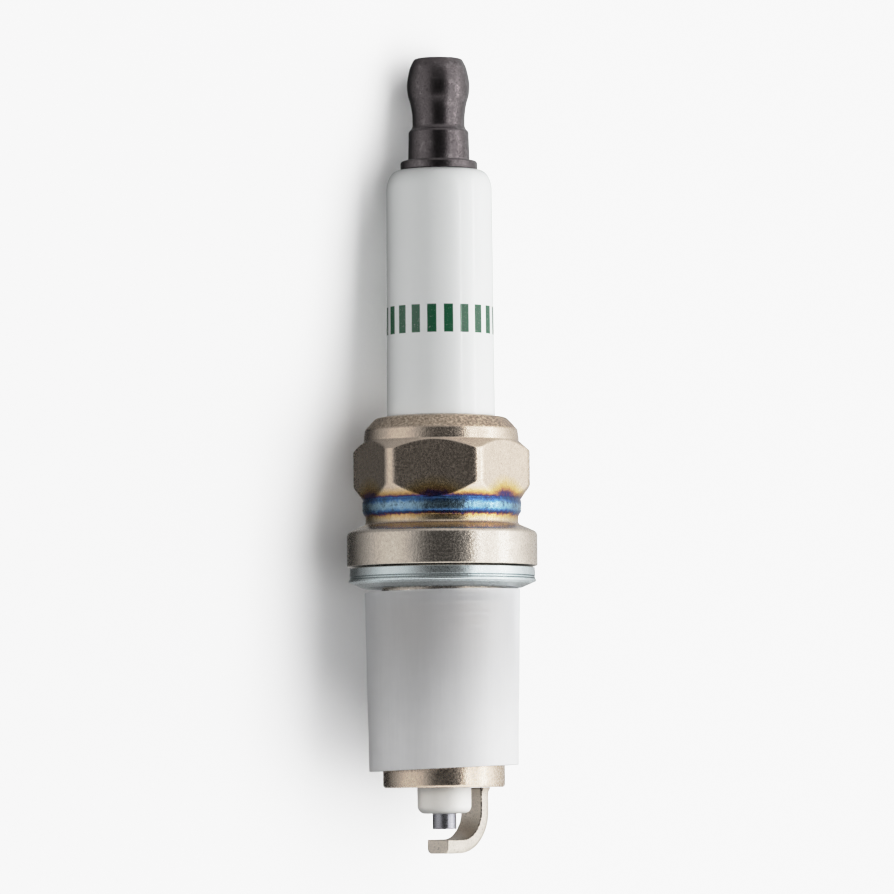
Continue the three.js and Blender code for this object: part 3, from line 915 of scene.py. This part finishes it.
def backdrop():
    """The white sheet behind the plug, leaning a little. It is seen from the front only."""
    half = 600.0
    corners = []
    for x, z in ((-half, -half), (half, -half), (half, half), (-half, half)):
        corners.append((x, BACKDROP_GAP - BACKDROP_LEAN * z, z))
    sheet = new_object("backdrop", corners, [[0, 1, 2, 3]])
    s = Shader("white_sheet")
    tone = s.vary((0.80, 0.80, 0.80), (s.noise(0.02, 2), 0.01), (s.noise(3, 2), 0.004))
    s.finish(Base_Color=tone, Roughness=0.9, Specular_IOR_Level=0.1)
    behind = s.node("ShaderNodeNewGeometry").outputs["Backfacing"]
    clear = s.node("ShaderNodeBsdfTransparent").outputs[0]
    seen = s.node("ShaderNodeMixShader")
    s.put(seen.inputs[0], behind)
    s.put(seen.inputs[1], s.surface.outputs[0])
    s.put(seen.inputs[2], clear)
    s.put(s.nodes["Material Output"].inputs["Surface"], seen.outputs[0])
    sheet.data.materials.append(s.material)
    return sheet


# Reflections and bounced light leave the sheet out: the mirrored studio and the lamps stand for it.
sheet = backdrop()
sheet.visible_glossy = False
sheet.visible_diffuse = False
sheet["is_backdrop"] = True

# What shiny surfaces mirror: (degrees from the viewer towards the right, radiance). The two
# brightest steps are strip lamps.
AROUND = [
    (-180, 0.5),
    (-165, 0.12),
    (-150, 0.03),
    (-132, 0.05),
    (-115, 0.28),
    (-95, 0.58),
    (-75, 0.88),
    (-50, 0.84),
    (-36, 0.60),
    (-26, 0.20),
    (-17, 0.057),
    (22, 0.057),
    (32, 0.25),
    (41, 1.4),
    (45.0, 1.5),
    (45.3, 9.0),
    (46.9, 9.0),
    (47.2, 1.6),
    (66, 1.8),
    (72, 2.0),
    (78.8, 2.0),
    (79.1, 12.0),
    (80.8, 12.0),
    (81.1, 1.95),
    (98, 1.85),
    (118, 1.15),
    (140, 0.85),
    (180, 0.5),
]
BRIGHTEST = max(radiance for _, radiance in AROUND)

# What the camera sees past the sheet.
PALE = (2.0, 2.0, 2.0)

# What surfaces that face up or down mirror: at the left, at the right, and this much more from below.
SLANTING = (0.42, 0.95)
FROM_BELOW = 2.1


class WorldNodes:
    """The world's nodes, added and linked in one call each."""

    def __init__(self, tree):
        self.nodes = tree.nodes
        self.links = tree.links

    def add(self, kind, *inputs, operation=None):
        made = self.nodes.new(kind)
        if operation:
            made.operation = operation
        for socket, value in zip(made.inputs, inputs):
            if isinstance(value, bpy.types.NodeSocket):
                self.links.new(value, socket)
            else:
                socket.default_value = value
        return made.outputs[0]


def mirrored_studio():
    """Soft boxes at the right, a dark studio behind the camera, a pale wall at the left. It gives
    no diffuse light: the soft lamps do."""
    world = bpy.data.worlds.new("studio")
    bpy.context.scene.world = world
    world.use_nodes = True
    world.cycles_visibility.diffuse = False
    w = WorldNodes(world.node_tree)
    direction = w.nodes.new("ShaderNodeTexCoord").outputs["Generated"]
    split = w.nodes.new("ShaderNodeSeparateXYZ")
    w.links.new(direction, split.inputs[0])
    x, y, z = split.outputs
    forward = w.add("ShaderNodeMath", y, -1.0, operation="MULTIPLY")
    turn = w.add("ShaderNodeMath", x, forward, operation="ARCTAN2")
    share = w.add("ShaderNodeMapRange", turn, -math.pi, math.pi, 0.0, 1.0)
    ramp = w.nodes.new("ShaderNodeValToRGB")
    w.links.new(share, ramp.inputs[0])
    elements = ramp.color_ramp.elements
    while len(elements) < len(AROUND):
        elements.new(0.5)
    for element, (degrees, radiance) in zip(elements, AROUND):
        element.position = (degrees + 180) / 360
        element.color = (*[radiance / BRIGHTEST] * 3, 1)
    level = w.add("ShaderNodeBackground", ramp.outputs[0], BRIGHTEST)
    sideways = w.add("ShaderNodeMapRange", x, -0.5, 0.6, *SLANTING)
    from_below = w.add("ShaderNodeMapRange", z, -0.5, -0.2, FROM_BELOW, 1.0)
    strength = w.add("ShaderNodeMath", sideways, from_below, operation="MULTIPLY")
    slanting = w.add("ShaderNodeBackground", (1, 1, 1, 1), strength)
    steepness = w.add("ShaderNodeMath", z, operation="ABSOLUTE")
    steep = w.add("ShaderNodeMapRange", steepness, 0.35, 0.8, 0.0, 1.0)
    studio = w.add("ShaderNodeMixShader", steep, level, slanting)
    plain = w.add("ShaderNodeBackground", (*PALE, 1), 1.0)
    camera_ray = w.nodes.new("ShaderNodeLightPath").outputs["Is Camera Ray"]
    seen = w.add("ShaderNodeMixShader", camera_ray, studio, plain)
    w.links.new(seen, w.nodes["World Output"].inputs["Surface"])


def group(name, objects):
    made = bpy.data.collections.new(name)
    for member in objects:
        made.objects.link(member)
    return made


sheet_group = group("sheet_group", [sheet])
plug_group = group("plug_group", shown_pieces())


def soft_lamp(name, lit, degrees, height, distance, width, length, watts):
    """A soft box, aimed at the plug, that lights one group. Reflections and the camera don't see it,
    and only the plug casts shadows in its light."""
    lamp = bpy.data.lights.new(name, "AREA")
    lamp.shape = "RECTANGLE"
    lamp.size = width * MM
    lamp.size_y = length * MM
    lamp.energy = watts
    made = bpy.data.objects.new(name, lamp)
    bpy.context.scene.collection.objects.link(made)
    turn = math.radians(degrees)
    made.location = to_frame((distance * math.sin(turn), -distance * math.cos(turn), height))
    made.rotation_euler = (to_frame((0, 0, 15)) - made.location).to_track_quat("-Z", "Y").to_euler()
    made.visible_glossy = False
    made.visible_camera = False
    made.visible_transmission = False
    made.light_linking.receiver_collection = lit
    made.light_linking.blocker_collection = plug_group


def to_frame(point):
    return Vector(point) * MM + Vector((0, 0, SEAT))


mirrored_studio()
# What each lamp lights, degrees to the right, height, distance, width, length and watts.
soft_lamp("wide_sheet_lamp", sheet_group, 38, -59, 600, 1000, 255, 6.6)
soft_lamp("tall_sheet_lamp", sheet_group, 27, -37, 600, 233, 1043, 8.6)
soft_lamp("fill_sheet_lamp", sheet_group, -45, -40, 600, 400, 400, 0.5)
soft_lamp("front_lamp", plug_group, -10, 0, 600, 280, 280, 1.9)
soft_lamp("side_lamp", plug_group, 72, 0, 500, 160, 500, 2.0)
soft_lamp("left_bounce", plug_group, -105, 0, 500, 300, 500, 0.8)
soft_lamp("right_bounce", plug_group, 105, 0, 500, 300, 500, 2.9)
soft_lamp("back_lamp", plug_group, 180, 0, 600, 280, 280, 2.6)

# ---------------------------------------------------------------- the camera

CAMERA_AT = (0.57, -587.0, -20.0)
CAMERA_AIM = (0.57, 0.0, 14.2)
CAMERA_ROLL = math.radians(-0.5)
FOCAL_LENGTH = 236
SENSOR_WIDTH = 36

lens = bpy.data.cameras.new("camera")
lens.lens = FOCAL_LENGTH
lens.sensor_width = SENSOR_WIDTH
lens.clip_start = 0.01
camera = bpy.data.objects.new("camera", lens)
bpy.context.scene.collection.objects.link(camera)
camera.location = to_frame(CAMERA_AT)
sight = to_frame(CAMERA_AIM) - to_frame(CAMERA_AT)
upright = sight.to_track_quat("-Z", "Y").to_matrix()
camera.rotation_euler = (upright @ Matrix.Rotation(CAMERA_ROLL, 3, "Z")).to_euler()
bpy.context.scene.camera = camera

# The picture keeps its dark and middle tones, and has a long soft shoulder up to just under white.
TONES = [(0.0, 0.0), (0.3, 0.3), (0.6, 0.6), (1.0, 0.80), (1.4, 0.89), (2.0, 0.935)]

display = bpy.context.scene.view_settings
display.view_transform = "Standard"
display.use_curve_mapping = True
curve = display.curve_mapping
curve.extend = "HORIZONTAL"
curve.white_level = (TONES[-1][0],) * 3
shoulder = curve.curves[3].points
while len(shoulder) < len(TONES):
    shoulder.new(0.5, 0.5)
for point, (light, shown) in zip(shoulder, TONES):
    point.location = (light / TONES[-1][0], shown)
curve.update()
